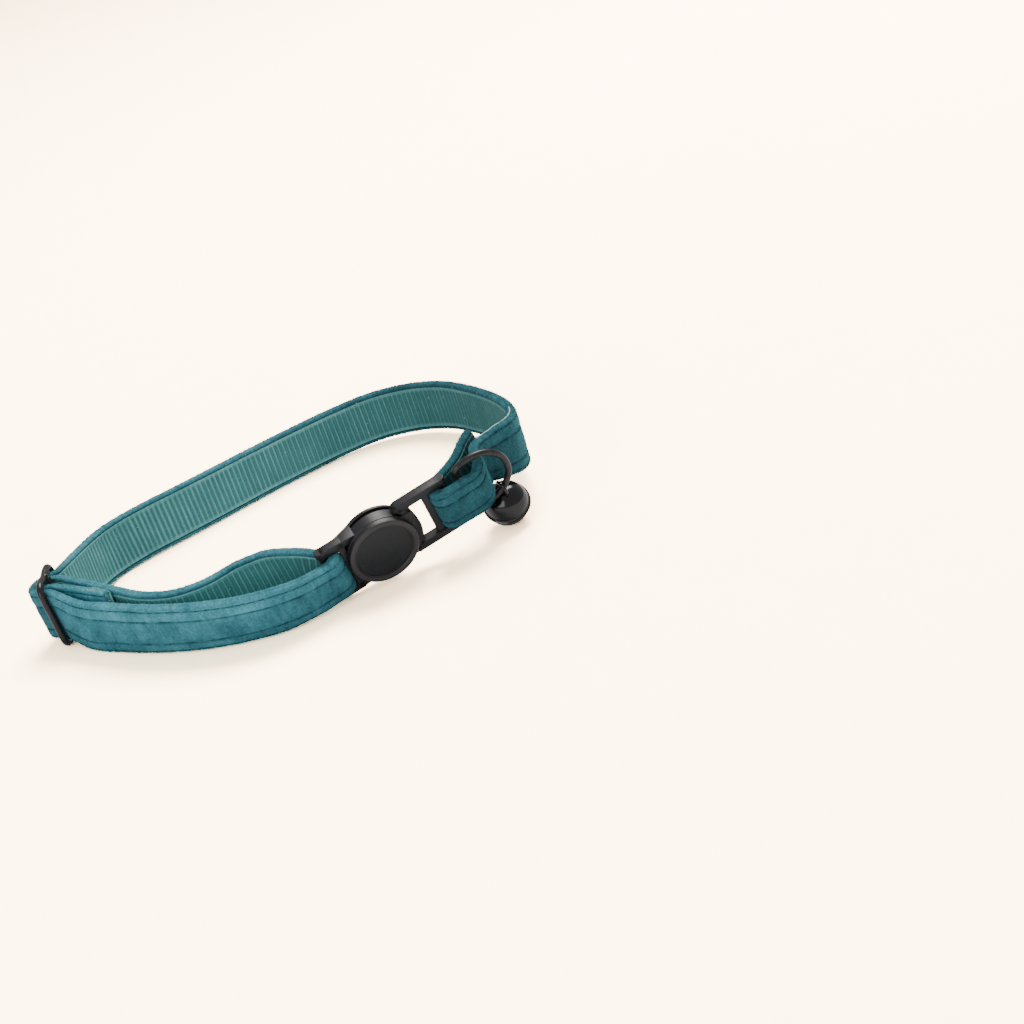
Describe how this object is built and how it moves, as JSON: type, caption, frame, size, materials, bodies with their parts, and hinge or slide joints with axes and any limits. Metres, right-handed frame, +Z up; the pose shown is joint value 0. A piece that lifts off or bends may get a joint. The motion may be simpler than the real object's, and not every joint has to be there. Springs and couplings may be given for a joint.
{
  "type": "cat collar",
  "caption": "Narrow velvet cat collar lying in a loose loop, with a ribbed ribbon lining, a wire adjuster, a round breakaway buckle, a D-ring and a small bell.",
  "frame": {"origin": "centre of the collar's box, on the surface it lies on", "axes": "+X along the longest extent, from the adjuster to the bell; +Y from the buckle side to the plain back of the strap; +Z up from the surface"},
  "size_m": [0.1084, 0.0874, 0.0227],
  "materials": {
    "velvet": "short-pile teal velvet, matt, with a soft sheen at grazing angles",
    "grosgrain": "ribbed teal ribbon, matt, ribs across the width",
    "black_wire": "black coated wire, soft gloss",
    "black_plastic": "moulded black plastic, satin",
    "black_gloss": "black lacquered metal, glossy",
    "pellet_steel": "plain steel ball"
  },
  "bodies": {
    "root": {"strap_velvet": "velvet", "strap_ribbon": "grosgrain", "adjuster_slide": "black_wire", "buckle_socket": "black_plastic", "buckle_plug": "black_plastic", "d_ring": "black_wire", "bell_shell": "black_gloss", "bell_pellet": "pellet_steel"}
  },
  "joints": []
}
